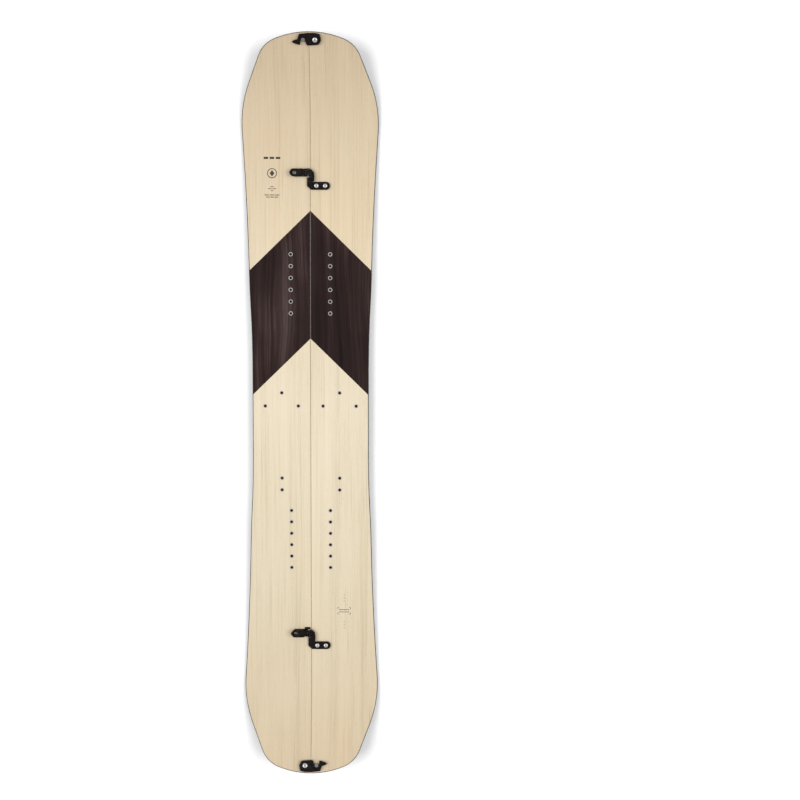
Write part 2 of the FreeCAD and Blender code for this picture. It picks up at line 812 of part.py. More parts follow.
def clip_lever(word, frame):
    """Over-centre lever: two cheeks under a roof that ends in a pointed thumb tab."""
    body = new_body(word + "_clip_lever_body")
    middle = size("clip_step")
    across = size("lever_pivot_across")
    height = size("lever_pivot_height")
    boss = size("lever_boss")
    roof = size("lever_roof_low")
    wide = size("ear_outer") - 0.2
    narrow = size("lever_cheek_outer")
    neck = size("lever_neck")
    half_outline = [(size("lever_roof_near"), narrow, 0.8), (neck, narrow, 1.0),
                    (neck - size("lever_flare"), wide, 1.0), (size("lever_shoulder"), wide, 2.0),
                    (size("lever_tip"), size("lever_tip_half"), 1.5)]
    outline = [(x, middle + y, r) for x, y, r in half_outline]
    outline += [(x, middle - y, r) for x, y, r in reversed(half_outline)]
    sketch = new_sketch(body, word + "_lever_outline", "XY_Plane", rounded_lines(outline), roof)
    slab = pad(body, word + "_lever_roof", sketch, "Sizes.lever_roof")
    chamfer_level(body, word + "_lever_bevel", slab, roof + size("lever_roof"), size("clip_bevel"))

    def cheek():
        near = size("lever_roof_near")
        far = size("cheek_far")
        low = size("clip_base") + size("cheek_lift")
        high = roof + size("cheek_overlap")
        end = vector(across, height - boss)
        start = vector(across, height + boss)
        corners = [start, vector(near - 0.5, high), vector(far, high), vector(far, roof - 1.5),
                   vector(size("cheek_foot"), low), vector(near, low), end]
        lines = [Part.LineSegment(a, b) for a, b in zip(corners, corners[1:])]
        lines.append(Part.Arc(end, vector(across + boss, height), start))
        return lines

    mirrored_pads(body, word + "_lever_cheek", cheek, "lever_cheek_inner", "lever_cheek_outer")
    drill_across(body, word + "_lever_bore", across, height, size("lever_pin"))
    throw = throw_centre()
    drill_across(body, word + "_throw_bore", throw.x, throw.z, size("throw_pin"))
    window = new_sketch(body, word + "_lever_window", "XY_Plane",
                        [circle(size("lever_window_across"), middle, size("lever_window"))], 12.0)
    pocket(body, word + "_lever_window_cut", window, "12 - Sizes.clip_base - 0.4")
    body.Placement = frame
    keep(body, word + "_clip_lever")


def throw_centre():
    """Axis of the eccentric pin in the clip's frame, a little below the lever's own axis."""
    angle = math.radians(size("over_centre"))
    return vector(size("lever_pivot_across") - size("throw_radius") * math.cos(angle), size("clip_step"),
                  size("lever_pivot_height") - size("throw_radius") * math.sin(angle))


def clip_pins(word, frame):
    """Two stub pins that carry the lever in the ears, and the eccentric pin that pulls the arm."""
    upright = FreeCAD.Rotation(ACROSS, -90)
    inner = size("lever_cheek_inner") + size("pin_start")
    outer = size("ear_outer") + size("pin_proud")
    radius = size("lever_pin")
    rim = radius + size("pin_head_reach")
    bevel = size("pin_head_bevel")
    end = outer + size("pin_head_height")
    stubs = []
    for sign in (1, -1):
        stub = new_body("%s_lever_pin_%s" % (word, "nose" if sign > 0 else "tail"))
        revolve(stub, stub.Name + "_turned", [
            (0, inner), (radius, inner), (radius, outer), (rim, outer), (rim - bevel, end), (0, end)])
        along = upright if sign > 0 else FreeCAD.Rotation(ACROSS, 90)
        centre = vector(size("lever_pivot_across"), size("clip_step"), size("lever_pivot_height"))
        stub.Placement = frame * FreeCAD.Placement(centre, along)
        stubs.append(stub)
    pair = DOC.addObject("Part::Compound", word + "_lever_pin_pair")
    pair.Links = stubs
    keep(pair, word + "_clip_lever_pins")

    pin = new_body(word + "_throw_pin_body")
    sketch = new_sketch(pin, word + "_throw_circle", "XY_Plane", [circle(0, 0, size("throw_pin"))])
    rod = pad(pin, word + "_throw_rod", sketch, "2 * Sizes.lever_cheek_outer")
    rod.Midplane = True
    pin.Placement = frame * FreeCAD.Placement(throw_centre(), upright)
    keep(pin, word + "_clip_eccentric_pin")


def split_line(side):
    """Two points of a finger's slanted face: it runs 30 degrees off the seam, side says which finger."""
    slant = vector(0.5, -math.cos(math.radians(30)))
    square = vector(slant.y, -slant.x) * -1
    start = vector(-0.8, 4.0) + square * (side * size("finger_gap") / 2)
    return start, slant


def on_split_line(side, along):
    """Where a finger's slanted face crosses a given distance along the board."""
    start, slant = split_line(side)
    return start.x + slant.x * (along - start.y) / slant.y


def clip_arm(word, frame):
    """Hook arm: an eye on the eccentric pin, then a finger that crosses the seam and curves to the tail."""
    body = new_body(word + "_clip_arm_body")
    middle = size("clip_step")
    half = size("arm_half_width")
    eye = throw_centre()
    low = size("arm_low")
    radius = size("arm_eye")
    eye_top = vector(eye.x, eye.z + radius)
    eye_foot = vector(eye.x, eye.z - radius)
    foot = size("arm_finger_foot")
    head = size("arm_finger_head")
    outline = [
        (-0.3, 20.6, 0.8), (2.0, 21.2, 2.5), (7.8, 15.2, 4.0), (9.1, 5.5, 8.0), (8.3, foot + 0.6, 0.8),
        (on_split_line(1, foot) + 1.8, foot, 1.0), (on_split_line(1, foot), foot, 0.6),
        (on_split_line(1, head), head, 0.0), (-0.3, head, 0.0),
    ]
    plan = new_sketch(body, word + "_arm_outline", "XY_Plane", rounded_lines(outline), size("finger_low"))
    finger = pad(body, word + "_arm_finger", plan,
                 "Sizes.arm_low + Sizes.arm_thickness - Sizes.finger_low")
    chamfer_level(body, word + "_arm_bevel", finger, low + size("arm_thickness"), size("clip_bevel"))
    bridge_end = size("arm_bridge_end")
    bridge_top = low + size("arm_thickness") - size("clip_bevel")
    section = [
        Part.Arc(eye_top, vector(eye.x - radius, eye.z), eye_foot),
        Part.LineSegment(eye_foot, vector(bridge_end, low)),
        Part.LineSegment(vector(bridge_end, low), vector(bridge_end, bridge_top)),
        Part.LineSegment(vector(bridge_end, bridge_top), eye_top),
    ]
    side_view = new_sketch(body, word + "_arm_section", "XZ_Plane", section, -middle - half)
    shank = pad(body, word + "_arm_shank", side_view, "2 * Sizes.arm_half_width")
    DOC.recompute()
    if len(shank.Shape.Solids) != 1:
        raise ValueError("the arm is not one piece")
    drill_across(body, word + "_arm_bore", eye.x, eye.z, size("throw_pin") + size("running_gap"))
    body.Placement = frame
    keep(body, word + "_clip_hook_arm")


def clip_lower_hook(word, frame):
    """Fixed hook: a plate with two screws whose finger crosses the seam and points to the nose."""
    body = new_body(word + "_clip_lower_hook_body")
    middle = -size("clip_step")
    half = size("ear_outer")
    right = size("lower_hook_far")
    plate_top = middle + half
    top = size("lower_finger_top")
    far = size("lower_finger_far")
    outline = [
        (right, middle + half, half - 0.2), (on_split_line(-1, plate_top), plate_top, 0.0),
        (on_split_line(-1, top), top, 0.9), (far, top, 2.6), (far, middle - 1.0, 5.0),
        (2.0, middle - half, 6.0), (right, middle - half, half - 0.2),
    ]
    plan = new_sketch(body, word + "_lower_outline", "XY_Plane", rounded_lines(outline))
    slab = pad(body, word + "_lower_slab", plan, "Sizes.lower_hook")
    bevelled = chamfer_level(body, word + "_lower_bevel", slab, size("lower_hook"), size("clip_bevel"))
    DOC.recompute()
    before = bevelled.Shape.Volume
    clear = closed_lines([(-10, -30), (0.8, -30), (0.8, 10), (-10, 10)])
    relief = new_sketch(body, word + "_lower_relief", "XY_Plane", clear, size("finger_low"))
    lifted = pocket(body, word + "_lower_lift", relief, "Sizes.finger_low")
    DOC.recompute()
    if lifted.Shape.Volume >= before:
        raise ValueError("the lower hook is not lifted off the other ski")
    for number, x in enumerate((size("lower_screw_near"), size("lower_screw_far"))):
        hole = new_sketch(body, "%s_lower_hole_%d" % (word, number), "XY_Plane",
                          [circle(x, middle, size("hardware_bore"))], size("lower_hook"))
        pocket(body, "%s_lower_drill_%d" % (word, number), hole, "Sizes.lower_hook")
    body.Placement = frame
    keep(body, word + "_clip_lower_hook")


def clip_set(word, frame, tabbed):
    """One complete board clip: lever unit on the left ski, fixed hook on the right ski."""
    clip_base(word, frame, tabbed)
    near = (size("base_screw_near"), size("lever_window_across"))
    base_places = [shifted(frame, x, size("clip_step")) for x in near]
    keep(placed_copies(word + "_base_screw_pair", BASE_SCREW, base_places), word + "_clip_base_screws")
    clip_lever(word, frame)
    clip_pins(word, frame)
    clip_arm(word, frame)
    clip_lower_hook(word, frame)
    far = (size("lower_screw_near"), size("lower_screw_far"))
    hook_places = [shifted(frame, x, -size("clip_step")) for x in far]
    keep(placed_copies(word + "_hook_screw_pair", LOWER_SCREW, hook_places), word + "_clip_lower_hook_screws")


# ---- Build, check and write -------------------------------------------------------------------------------

def check_document():
    """Stop if any object failed to build or any sub-part is empty or broken."""
    for feature in DOC.Objects:
        if any(word in feature.State for word in ("Invalid", "Error")):
            raise ValueError("%s failed: %s" % (feature.Label, feature.State))
    for part in PARTS:
        if part.Shape.isNull() or not part.Shape.isValid() or part.Shape.Volume <= 0:
            raise ValueError("%s has no valid shape" % part.Label)


def write_parts():
    os.makedirs("parts", exist_ok=True)
    for part in PARTS:
        part.Shape.exportStep(os.path.join("parts", part.Label + ".step"))
        print("%-28s %d solid(s) %10.1f mm3" % (part.Label, len(part.Shape.Solids), part.Shape.Volume))


build_ski("left", -1)
build_ski("right", 1)
hook_set("nose", NOSE)
hook_set("tail", TAIL)
clip_set("front", FRONT, False)
clip_set("rear", REAR, True)
DOC.recompute()
check_document()
write_parts()
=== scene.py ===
"""Splitboard lying base down on a pale floor, seen from above its deck.  Metres, in the CAD frame."""
import json
import math

import bmesh
import bpy
from mathutils import Matrix, Vector
from mathutils.bvhtree import BVHTree


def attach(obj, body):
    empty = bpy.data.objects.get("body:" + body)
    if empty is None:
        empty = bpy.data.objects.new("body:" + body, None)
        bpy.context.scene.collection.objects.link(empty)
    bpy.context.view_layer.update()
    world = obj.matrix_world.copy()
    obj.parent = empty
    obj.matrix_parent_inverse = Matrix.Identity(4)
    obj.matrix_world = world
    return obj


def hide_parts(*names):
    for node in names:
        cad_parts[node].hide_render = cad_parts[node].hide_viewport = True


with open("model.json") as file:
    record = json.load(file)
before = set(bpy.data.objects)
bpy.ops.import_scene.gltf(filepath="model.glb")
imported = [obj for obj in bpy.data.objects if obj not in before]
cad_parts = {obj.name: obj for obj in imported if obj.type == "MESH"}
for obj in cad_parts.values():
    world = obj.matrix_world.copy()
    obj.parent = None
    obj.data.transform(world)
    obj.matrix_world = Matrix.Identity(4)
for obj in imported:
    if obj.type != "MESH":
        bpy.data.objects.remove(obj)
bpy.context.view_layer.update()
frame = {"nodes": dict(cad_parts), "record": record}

NODES = frame["nodes"]
MM = 0.001
BODY_OF = {node: body for body, nodes in frame["record"]["behaviour"]["bodies"].items() for node in nodes}
SLOT_OF = {entry["node"]: entry["material_slot"] for entry in frame["record"]["subparts"]}


# ---- Shader helpers ---------------------------------------------------------------------------------------

class Shader:
    """A node material under construction: small calls that add a node and hand back its output."""

    def __init__(self, name):
        self.material = bpy.data.materials.new(name)
        self.material.use_nodes = True
        self.nodes = self.material.node_tree.nodes
        self.links = self.material.node_tree.links
        self.surface = self.nodes["Principled BSDF"]
        coordinates = self.nodes.new("ShaderNodeTexCoord")
        self.place = coordinates.outputs["Object"]

    def add(self, kind, **settings):
        node = self.nodes.new(kind)
        for key, value in settings.items():
            setattr(node, key, value)
        return node

    def feed(self, socket, value):
        if isinstance(value, bpy.types.NodeSocket):
            self.links.new(value, socket)
        else:
            socket.default_value = value

    def stretch(self, scale, shift=(0, 0, 0)):
        """The place on the object, scaled by axis, in metres."""
        node = self.add("ShaderNodeMapping")
        self.feed(node.inputs["Vector"], self.place)
        node.inputs["Location"].default_value = shift
        node.inputs["Scale"].default_value = scale
        return node.outputs["Vector"]

    def noise(self, scale, detail=3.0, rough=0.5, shift=(0, 0, 0), distort=0.0, at=None):
        node = self.add("ShaderNodeTexNoise")
        self.feed(node.inputs["Vector"], at if at is not None else self.stretch(scale, shift))
        node.inputs["Scale"].default_value = 1.0
        node.inputs["Detail"].default_value = detail
        node.inputs["Roughness"].default_value = rough
        node.inputs["Distortion"].default_value = distort
        return node.outputs["Fac"]

    def math(self, operation, first, second=0.0, third=0.0, clamp=False):
        node = self.add("ShaderNodeMath", operation=operation, use_clamp=clamp)
        for socket, value in zip(node.inputs, (first, second, third)):
            self.feed(socket, value)
        return node.outputs[0]

    def ramp(self, factor, stops):
        """A colour ramp through (position, colour) stops; a plain number is a grey."""
        node = self.add("ShaderNodeValToRGB")
        self.feed(node.inputs["Fac"], factor)
        elements = node.color_ramp.elements
        while len(elements) < len(stops):
            elements.new(0.5)
        for element, (position, colour) in zip(elements, stops):
            element.position = position
            shade = (colour,) * 3 if isinstance(colour, (int, float)) else colour
            element.color = (*shade, 1.0)
        return node.outputs["Color"]

    def span(self, factor, low, high, to_low=0.0, to_high=1.0):
        node = self.add("ShaderNodeMapRange")
        node.clamp = True
        for name, value in (("Value", factor), ("From Min", low), ("From Max", high), ("To Min", to_low),
                            ("To Max", to_high)):
            self.feed(node.inputs[name], value)
        return node.outputs["Result"]

    def mix(self, factor, first, second, blend="MIX"):
        node = self.add("ShaderNodeMix", data_type="RGBA", blend_type=blend)
        self.feed(node.inputs["Factor"], factor)
        for socket, value in zip((node.inputs[6], node.inputs[7]), (first, second)):
            colour = value if isinstance(value, bpy.types.NodeSocket) else (*value, 1.0)
            self.feed(socket, colour)
        return node.outputs[2]

    def axis(self, name):
        node = self.add("ShaderNodeSeparateXYZ")
        self.feed(node.inputs[0], self.place)
        return node.outputs[name]

    def bump(self, height, depth, strength=1.0, under=None):
        node = self.add("ShaderNodeBump")
        node.inputs["Strength"].default_value = strength
        node.inputs["Distance"].default_value = depth
        self.feed(node.inputs["Height"], height)
        if under is not None:
            self.feed(node.inputs["Normal"], under)
        return node.outputs["Normal"]

    def finish(self, **sockets):
        for name, value in sockets.items():
            self.feed(self.surface.inputs[name.replace("_", " ")], value)
        return self.material


def srgb(red, green, blue):
    """Linear colour of an 8-bit sRGB shade."""
    def linear(value):
        value /= 255
        return value / 12.92 if value <= 0.04045 else ((value + 0.055) / 1.055) ** 2.4
    return tuple(linear(value) for value in (red, green, blue))


# ---- Materials --------------------------------------------------------------------------------------------

WALNUT_FOOT = 0.154         # where the dark veneer starts and ends on the seam
WALNUT_TOP = 0.4286

def wood_material(name, tones, pore_shade, tint, clouds, sway, line_depth, strip_weight, line_weight, coat,
                  gloss):
    """Straight-grained veneer along the board under a satin coat.

    tones colour the grain, tint follows the length of the board and clouds are broad patches; all three
    multiply.  On the ash the tint is lighter in the middle: the wood's own colour with a painted reflection
    of the overhead light in the coat.  sway bends the grain, and the weights say how much each scale of it
    counts.
    """
    wood = Shader(name)
    drift = wood.noise((7, 2.6, 1), 2.0, 0.5, shift=(4, 2, 0))
    offset = wood.add("ShaderNodeCombineXYZ")
    wood.feed(offset.inputs["X"], wood.math("MULTIPLY", wood.math("SUBTRACT", drift, 0.5), sway))
    moved = wood.add("ShaderNodeVectorMath", operation="ADD")
    wood.feed(moved.inputs[0], wood.place)
    wood.feed(moved.inputs[1], offset.outputs[0])

    def grain(scale, detail, rough, shift=(0, 0, 0)):
        mapping = wood.add("ShaderNodeMapping")
        wood.feed(mapping.inputs["Vector"], moved.outputs[0])
        mapping.inputs["Location"].default_value = shift
        mapping.inputs["Scale"].default_value = scale
        return wood.noise(None, detail, rough, at=mapping.outputs["Vector"])

    strips = grain((42, 0.9, 4), 4.0, 0.55)
    lines = grain((360, 3.2, 12), 4.0, 0.6)
    cluster = grain((21, 1.3, 4), 2.0, 0.5, (3, 6, 0))
    fibres = grain((1700, 24, 80), 3.0, 0.6)
    pores = grain((1300, 105, 80), 2.0, 0.5, (0, 9, 0))
    line_mask = wood.math("MULTIPLY", wood.span(lines, 0.55, 0.70), wood.span(cluster, 0.42, 0.60))
    pore_mask = wood.math("MULTIPLY", wood.span(pores, 0.58, 0.72), wood.span(cluster, 0.34, 0.62, 0.25, 1.0))
    tone = wood.math("MULTIPLY", wood.math("SUBTRACT", strips, 0.5), strip_weight)
    tone = wood.math("ADD", tone, wood.math("MULTIPLY", wood.math("SUBTRACT", fibres, 0.5), 0.35))
    tone = wood.math("ADD", tone, wood.math("MULTIPLY", wood.math("SUBTRACT", lines, 0.5), line_weight))
    colour = wood.ramp(wood.math("ADD", tone, 0.5), tones)
    colour = wood.mix(wood.math("MULTIPLY", line_mask, line_depth), colour, pore_shade)
    colour = wood.mix(wood.math("MULTIPLY", pore_mask, line_depth * 0.45), colour, pore_shade)
    # lengthwise tint: on the ash a painted reflection, lighter in the middle, over the wood's own colour
    length = wood.span(wood.axis("Y"), -0.8, 0.8)
    colour = wood.mix(1.0, colour, wood.ramp(length, tint), "MULTIPLY")
    patches = wood.ramp(wood.noise((11, 4, 1), 3.0, 0.5, shift=(1, 7, 0)), clouds)
    colour = wood.mix(1.0, colour, patches, "MULTIPLY")
    height = wood.math("SUBTRACT", wood.math("MULTIPLY", fibres, 0.6), pore_mask)
    height = wood.math("SUBTRACT", height, wood.math("MULTIPLY", line_mask, 0.5))
    rough = wood.span(grain((240, 5, 20), 3.0, 0.5), 0.3, 0.7, 0.38, 0.52)
    return wood.finish(Base_Color=colour, Roughness=rough, Normal=wood.bump(height, 0.00006),
                       Coat_Weight=coat, Coat_Roughness=0.2, Specular_IOR_Level=gloss)


BLUSH = [(0.35, (1.0, 1.006, 1.012)), (0.68, (1.0, 0.985, 0.965))]      # faint warm clouds in the wood


def ash_material():
    tones = [(0.30, (0.84, 0.82, 0.78)), (0.45, (0.96, 0.955, 0.945)), (0.58, (1.0, 1.0, 1.0)),
             (0.74, (1.04, 1.045, 1.05))]
    # wood's own colour, lighter in the middle as a painted reflection of overhead light in the coat
    tint = [(0.0, (0.575, 0.465, 0.32)), (0.25, (0.645, 0.56, 0.41)), (0.5, (0.70, 0.615, 0.465)),
            (0.74, (0.655, 0.545, 0.385)), (1.0, (0.52, 0.415, 0.285))]
    return wood_material("ash_veneer", tones, (0.62, 0.54, 0.44), tint, BLUSH, sway=0.004, line_depth=0.7,
                         strip_weight=0.55, line_weight=0.8, coat=0.35, gloss=0.3)


def walnut_material():
    tones = [(0.28, (0.42, 0.40, 0.40)), (0.44, (0.78, 0.77, 0.76)), (0.58, (1.08, 1.10, 1.10)),
             (0.76, (2.0, 2.5, 2.5))]
    tint = [(0.0, (0.024, 0.0115, 0.0105)), (1.0, (0.024, 0.0115, 0.0105))]
    smoke = [(0.36, (0.72, 0.74, 0.75)), (0.5, (0.98, 1.0, 1.0)), (0.66, (1.5, 1.8, 1.82))]
    return wood_material("walnut_veneer", tones, (0.38, 0.36, 0.36), tint, smoke, sway=0.045, line_depth=0.5,
                         strip_weight=1.25, line_weight=0.8, coat=0.06, gloss=0.1)


def core_material():
    tones = [(0.30, (0.84, 0.80, 0.74)), (0.5, (1.0, 1.0, 1.0)), (0.74, (1.06, 1.07, 1.08))]
    tint = [(0.0, (0.52, 0.38, 0.22)), (1.0, (0.52, 0.38, 0.22))]
    return wood_material("core_wood", tones, (0.6, 0.5, 0.4), tint, BLUSH, sway=0.006, line_depth=0.6,
                         strip_weight=1.0, line_weight=0.5, coat=0.0, gloss=0.3)


def base_material(name, dark, light, streak_contrast):
    """Sintered ski base: stone-ground streaks run the length of the board under wax."""
    base = Shader(name)
    streaks = base.noise((900, 9, 4), 5.0, 0.6)
    grind = base.noise((2600, 40, 10), 3.0, 0.55, shift=(3, 1, 0))
    cloud = base.noise((14, 3, 2), 3.0, 0.5, shift=(0, 5, 0))
    mixed = base.math("ADD", base.math("MULTIPLY", streaks, 0.65), base.math("MULTIPLY", grind, 0.35))
    colour = base.ramp(mixed, [(0.5 - streak_contrast, dark), (0.5 + streak_contrast, light)])
    rough = base.math("ADD", base.span(mixed, 0.3, 0.7, 0.22, 0.42), base.math("MULTIPLY", cloud, 0.12))
    normal = base.bump(mixed, 0.00003)
    return base.finish(Base_Color=colour, Roughness=rough, Normal=normal, Specular_IOR_Level=0.5,
                       Anisotropic=0.5)


def wall_material():
    """Ground ABS sidewall with faint lengthwise scuffs."""
    wall = Shader("sidewall")
    scuff = wall.noise((300, 14, 900), 4.0, 0.6)
    grit = wall.noise((1800, 1800, 1800), 2.0, 0.5)
    colour = wall.ramp(scuff, [(0.35, srgb(22, 21, 22)), (0.6, srgb(34, 33, 34)), (0.78, srgb(62, 60, 60))])
    rough = wall.span(scuff, 0.3, 0.7, 0.42, 0.62)
    return wall.finish(Base_Color=colour, Roughness=rough, Normal=wall.bump(grit, 0.00004))


def laminate_material():
    """Dark resin-filled glass cloth, seen as a thin line round the deck."""
    cloth = Shader("fibreglass")
    weave_x = cloth.math("SINE", cloth.math("MULTIPLY", cloth.axis("X"), 5200.0))
    weave_y = cloth.math("SINE", cloth.math("MULTIPLY", cloth.axis("Y"), 5200.0))
    weave = cloth.math("MULTIPLY", weave_x, weave_y)
    stain = cloth.noise((40, 12, 40), 3.0)
    tint = cloth.math("ADD", cloth.math("MULTIPLY", weave, 0.12), stain)
    colour = cloth.ramp(tint, [(0.3, srgb(30, 28, 30)), (0.7, srgb(66, 62, 64))])
    return cloth.finish(Base_Color=colour, Roughness=0.3, Normal=cloth.bump(weave, 0.00003),
                        Coat_Weight=0.5, Coat_Roughness=0.12)


def steel_material(name, shade, grain, rough_low, rough_high, metal=1.0):
    """Metal with a ground or turned grain and small marks."""
    steel = Shader(name)
    lay = steel.noise(grain, 4.0, 0.65)
    smudge = steel.noise((70, 70, 70), 3.0, 0.5, shift=(2, 0, 0))
    low = tuple(value * 0.78 for value in shade)
    colour = steel.mix(steel.span(lay, 0.35, 0.65), low, shade)
    rough = steel.math("ADD", steel.span(lay, 0.3, 0.7, rough_low, rough_high),
                       steel.math("MULTIPLY", smudge, 0.08))
    return steel.finish(Base_Color=colour, Metallic=metal, Roughness=rough, Normal=steel.bump(lay, 0.00002))


def hardware_material():
    """Black anodised metal: fine bead-blast texture, with the coating thinned along sharp edges."""
    metal = Shader("black_hardware")
    blast = metal.noise((3200, 3200, 3200), 2.0, 0.5)
    patch = metal.noise((150, 150, 150), 4.0, 0.6)
    bevel = metal.add("ShaderNodeBevel", samples=4)
    bevel.inputs["Radius"].default_value = 0.0005
    geometry = metal.add("ShaderNodeNewGeometry")
    dot = metal.add("ShaderNodeVectorMath", operation="DOT_PRODUCT")
    metal.feed(dot.inputs[0], bevel.outputs["Normal"])
    metal.feed(dot.inputs[1], geometry.outputs["Normal"])
    edge = metal.span(dot.outputs["Value"], 0.97, 0.80)
    wear = metal.math("MULTIPLY", edge, metal.span(patch, 0.45, 0.62, 0.05, 0.45))
    body = metal.mix(metal.span(patch, 0.35, 0.65), srgb(9, 6, 5), srgb(21, 15, 13))
    colour = metal.mix(wear, body, srgb(110, 100, 94))
    rough = metal.span(patch, 0.3, 0.7, 0.26, 0.40)
    return metal.finish(Base_Color=colour, Roughness=rough, Normal=metal.bump(blast, 0.000015),
                        Specular_IOR_Level=0.2)


def bush_material():
    plain = Shader("bush_plastic")
    haze = plain.noise((500, 500, 500), 3.0)
    colour = plain.ramp(haze, [(0.35, srgb(30, 30, 31)), (0.7, srgb(52, 52, 54))])
    return plain.finish(Base_Color=colour, Roughness=0.5, Normal=plain.bump(haze, 0.00002))


def ink_material():
    """Thin dark print that lets the grain's relief through."""
    ink = Shader("deck_print")
    wear = ink.noise((700, 60, 60), 4.0, 0.6)
    colour = ink.ramp(wear, [(0.3, srgb(40, 33, 28)), (0.62, srgb(62, 52, 44)), (0.8, srgb(120, 104, 84))])
    return ink.finish(Base_Color=colour, Roughness=0.42, Normal=ink.bump(wear, 0.00002), Coat_Weight=0.4,
                      Coat_Roughness=0.2)


def lip_material():
    """Scraped lacquer along the seam: pale over the light veneer, greyer over the dark one."""
    lip = Shader("seam_lip")
    along = lip.axis("Y")
    dark_zone = lip.math("MULTIPLY", lip.math("GREATER_THAN", along, WALNUT_FOOT),
                         lip.math("LESS_THAN", along, WALNUT_TOP))
    scrape = lip.noise((900, 160, 900), 3.0, 0.6)
    pale = lip.ramp(scrape, [(0.3, srgb(148, 132, 106)), (0.7, srgb(184, 166, 136))])
    grey = lip.ramp(scrape, [(0.3, srgb(70, 62, 60)), (0.7, srgb(122, 114, 110))])
    colour = lip.mix(dark_zone, pale, grey)
    return lip.finish(Base_Color=colour, Roughness=0.5, Normal=lip.bump(scrape, 0.00003))


def shade_material(name, dark, light):
    """Unlit inside of a bore: dark oil and thread shadow."""
    shade = Shader(name)
    grime = shade.noise((900, 900, 900), 3.0)
    colour = shade.ramp(grime, [(0.3, dark), (0.7, light)])
    return shade.finish(Base_Color=colour, Roughness=0.6, Metallic=0.6, Normal=shade.bump(grime, 0.00003))


MATERIALS = {
    "ash": ash_material(),
    "walnut": walnut_material(),
    "core_wood": core_material(),
    "fibreglass": laminate_material(),
    "sidewall": wall_material(),
    "base": base_material("base_black", srgb(6, 6, 7), srgb(26, 26, 28), 0.16),
    "base_graphic": base_material("base_white", srgb(198, 198, 198), srgb(232, 232, 231), 0.22),
    "steel": steel_material("edge_steel", srgb(176, 178, 180), (500, 30, 1400), 0.26, 0.42),
    "stainless": steel_material("bright_screw", srgb(208, 206, 204), (900, 900, 2600), 0.28, 0.42, 0.78),
    # stud steel: darker grey than the screws as painted shade for its recess below the plate, and rougher as
    # well
    "dull_steel": steel_material("stud_steel_painted_shade", srgb(150, 146, 148), (900, 900, 900), 0.34, 0.52, 0.8),
    "bush": bush_material(),
    "black_hardware": hardware_material(),
    "print": ink_material(),
    "bore": shade_material("bore_shade", srgb(22, 16, 10), srgb(58, 44, 30)),
    "seam_lip": lip_material(),
}


# ---- CAD nodes: material and softened copies --------------------------------------------------------------

def paint(thing, material):
    thing.data.materials.clear()
    thing.data.materials.append(MATERIALS[material])


def new_piece(name, mesh, body, material):
    """A visible piece with its material, riding on a CAD body."""
    piece = bpy.data.objects.new(name, mesh)
    bpy.context.scene.collection.objects.link(piece)
    paint(piece, material)
    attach(piece, body)
    return piece


WELD = 1e-6                 # vertices closer than this are one
FLAT_TURN = 0.4             # degrees between faces that are one flat
SHARP_TURN = 35.0           # degrees between faces whose edge is rounded
ROUNDING = 0.25 * MM
ROUNDING_SEGMENTS = 3


def softened(node):
    """A finished piece in a node's own shape, with its sharp edges rounded over."""
    source = NODES[node]
    shape = bmesh.new()
    shape.from_mesh(source.data)
    bmesh.ops.remove_doubles(shape, verts=shape.verts, dist=WELD)
    flat = math.radians(FLAT_TURN)
    bmesh.ops.dissolve_limit(shape, angle_limit=flat, verts=shape.verts, edges=shape.edges)
    mesh = bpy.data.meshes.new(node + "_form")
    shape.to_mesh(mesh)
    shape.free()
    for polygon in mesh.polygons:
        polygon.use_smooth = True
    piece = new_piece(node + "_piece", mesh, BODY_OF[node], SLOT_OF[node])
    rounding = piece.modifiers.new("edge_round", "BEVEL")
    rounding.width = ROUNDING
    rounding.segments = ROUNDING_SEGMENTS
    rounding.limit_method = "ANGLE"
    rounding.angle_limit = math.radians(SHARP_TURN)
    rounding.harden_normals = True
    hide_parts(node)


for node, thing in NODES.items():
    paint(thing, SLOT_OF[node])

for node in [node for node in NODES if SLOT_OF[node] == "black_hardware"]:
    softened(node)


# ---- Threads and floors inside the open inserts ----------------------------------------------------------

OPEN_INSERTS = ("binding_inserts", "touring_inserts", "heel_inserts")
THREAD_ROOT = 3.05 * MM
THREAD_CREST = 2.55 * MM
THREAD_PITCH = 1.0 * MM
THREAD_TURNS = 5
THREAD_START = 0.7 * MM
THREAD_FOOT = 0.45          # half the ridge's width at its root and at its crest, in pitches
THREAD_TIP = 0.07
BORE_DEPTH = 5.7 * MM
BORE_RADIUS = 2.98 * MM
DRILL_CONE = 0.25 * MM
ROUND_STEPS = 24
THREAD_SECTION = ((THREAD_ROOT, THREAD_FOOT), (THREAD_CREST, THREAD_TIP), (THREAD_CREST, -THREAD_TIP),
                  (THREAD_ROOT, -THREAD_FOOT))
UPWARD = 0.9                # least upright part of the normal on a solid's top face


def solids(node):
    """A frame for each separate solid of a CAD node: Z along its axis, and its top face at zero."""
    shape = bmesh.new()
    shape.from_mesh(NODES[node].data)
    bmesh.ops.remove_doubles(shape, verts=shape.verts, dist=WELD)
    found, seen = [], set()
    for first in shape.verts:
        if first in seen:
            continue
        group, waiting = [], [first]
        seen.add(first)
        while waiting:
            vertex = waiting.pop()
            group.append(vertex)
            for edge in vertex.link_edges:
                other = edge.other_vert(vertex)
                if other not in seen:
                    seen.add(other)
                    waiting.append(other)
        middle = sum((vertex.co for vertex in group), Vector()) / len(group)
        faces = {face for vertex in group for face in vertex.link_faces}
        upward = [face.normal * face.calc_area() for face in faces if face.normal.z > UPWARD]
        axis = sum(upward, Vector()).normalized()
        top = max((vertex.co - middle).dot(axis) for vertex in group)
        turn = axis.to_track_quat("Z", "Y").to_matrix().to_4x4()
        found.append(Matrix.Translation(middle + axis * top) @ turn)
    shape.free()
    return found


def ring_point(radius, angle, height):
    return Vector((radius * math.cos(angle), radius * math.sin(angle), height))


